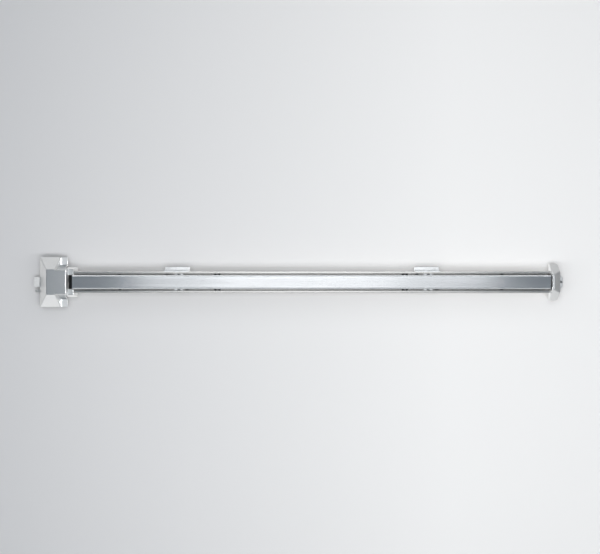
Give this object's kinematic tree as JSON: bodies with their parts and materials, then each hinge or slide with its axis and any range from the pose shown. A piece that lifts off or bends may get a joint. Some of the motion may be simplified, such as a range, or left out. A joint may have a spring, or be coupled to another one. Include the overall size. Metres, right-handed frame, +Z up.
{
  "type": "panic exit bar",
  "caption": "Surface-mounted panic exit bar: tapered latch case with a spring latch, brushed push bar pressing into a channel rail on bell cranks, and a faceted end cap.",
  "frame": {"origin": "centre of the chassis plate's back face, on the plane of the door", "axes": "+X along the bar away from the latch, +Y into the door (the device stands out towards -Y), +Z up"},
  "size_m": [1.0353, 0.057, 0.0972],
  "materials": {
    "cast_silver": "satin silver lacquer on a zinc casting",
    "bar_stainless": "fine lengthwise brushed stainless steel",
    "rail_aluminium": "satin anodised extrusion",
    "zinc_plate": "bright zinc plated steel",
    "latch_steel": "satin nickel plated steel",
    "spring_steel": "oiled spring wire",
    "pin_steel": "ground steel",
    "screw_steel": "zinc plated screw",
    "bush_brass": "turned",
    "nylon": "moulded",
    "rubber": "matte"
  },
  "bodies": {
    "frame": {"auxiliary_spring": "spring_steel", "base_rail": "rail_aluminium", "bumper_left_lower": "rubber", "bumper_left_upper": "rubber", "bumper_right_lower": "rubber", "bumper_right_upper": "rubber", "chassis_plate": "zinc_plate", "cover_screw_bottom": "screw_steel", "cover_screw_top": "screw_steel", "crank_bracket_left": "zinc_plate", "crank_bracket_right": "zinc_plate", "end_bracket": "zinc_plate", "end_cap": "cast_silver", "end_cap_screw": "screw_steel", "guide_screw_bottom": "screw_steel", "guide_screw_top": "screw_steel", "latch_guide": "zinc_plate", "latch_spring": "spring_steel", "mechanism_cover": "cast_silver", "pin_clip_left": "spring_steel", "pin_clip_right": "spring_steel", "pivot_pin_left": "pin_steel", "pivot_pin_right": "pin_steel", "rail_bracket_left": "zinc_plate", "rail_bracket_right": "zinc_plate", "rail_collar": "cast_silver", "rail_screw_left_lower": "screw_steel", "rail_screw_left_upper": "screw_steel", "rail_screw_right_lower": "screw_steel", "rail_screw_right_upper": "screw_steel", "return_spring_left": "spring_steel", "return_spring_right": "spring_steel", "rivet_left_lower": "pin_steel", "rivet_left_upper": "pin_steel", "rivet_right_lower": "pin_steel", "rivet_right_upper": "pin_steel", "rod_guide_left": "nylon", "rod_guide_right": "nylon", "rod_guide_screw_left_lower": "screw_steel", "rod_guide_screw_left_upper": "screw_steel", "rod_guide_screw_right_lower": "screw_steel", "rod_guide_screw_right_upper": "screw_steel", "spring_stop": "zinc_plate"},
    "push_bar": {"bar_lug_left": "zinc_plate", "bar_lug_right": "zinc_plate", "bar_plug_left": "nylon", "bar_plug_right": "nylon", "push_bar": "bar_stainless"},
    "crank_left": {"bell_crank_left": "zinc_plate", "crank_bush_left": "bush_brass", "link_pin_left": "pin_steel"},
    "crank_right": {"bell_crank_right": "zinc_plate", "crank_bush_right": "bush_brass", "link_pin_right": "pin_steel"},
    "rod": {"actuator_rod": "zinc_plate", "rod_pin": "pin_steel"},
    "latch": {"latch_bolt": "latch_steel"},
    "auxiliary_bolt": {"auxiliary_bolt": "latch_steel"}
  },
  "joints": [
    {"name": "push_bar_press", "type": "slide", "parent": "frame", "child": "push_bar", "axis": [0, 1, 0], "range_m": [0, 0.014], "stiffness_N_per_m": 900, "springref_m": -0.015},
    {"name": "crank_left_turn", "type": "hinge", "parent": "frame", "child": "crank_left", "pos_m": [0.2427, -0.0308, 0], "axis": [0, 0, 1], "range_deg": [-41.2, 0]},
    {"name": "crank_right_turn", "type": "hinge", "parent": "frame", "child": "crank_right", "pos_m": [0.7324, -0.0308, 0], "axis": [0, 0, 1], "range_deg": [-41.2, 0]},
    {"name": "rod_slide", "type": "slide", "parent": "frame", "child": "rod", "axis": [1, 0, 0], "range_m": [0, 0.0151], "deforming": ["return_spring_left", "return_spring_right"]},
    {"name": "latch_slide", "type": "slide", "parent": "frame", "child": "latch", "axis": [1, 0, 0], "range_m": [0, 0.0151], "deforming": ["latch_spring"]},
    {"name": "auxiliary_slide", "type": "slide", "parent": "frame", "child": "auxiliary_bolt", "axis": [1, 0, 0], "range_m": [0, 0.01], "stiffness_N_per_m": 150, "springref_m": -0.006, "deforming": ["auxiliary_spring"]}
  ],
  "couplings": [
    {"joint": "crank_left_turn", "follows": "push_bar_press", "rad_per_m": -51.082},
    {"joint": "crank_right_turn", "follows": "push_bar_press", "rad_per_m": -51.082},
    {"joint": "rod_slide", "follows": "push_bar_press", "ratio": 1.075},
    {"joint": "latch_slide", "follows": "push_bar_press", "ratio": 1.075}
  ]
}
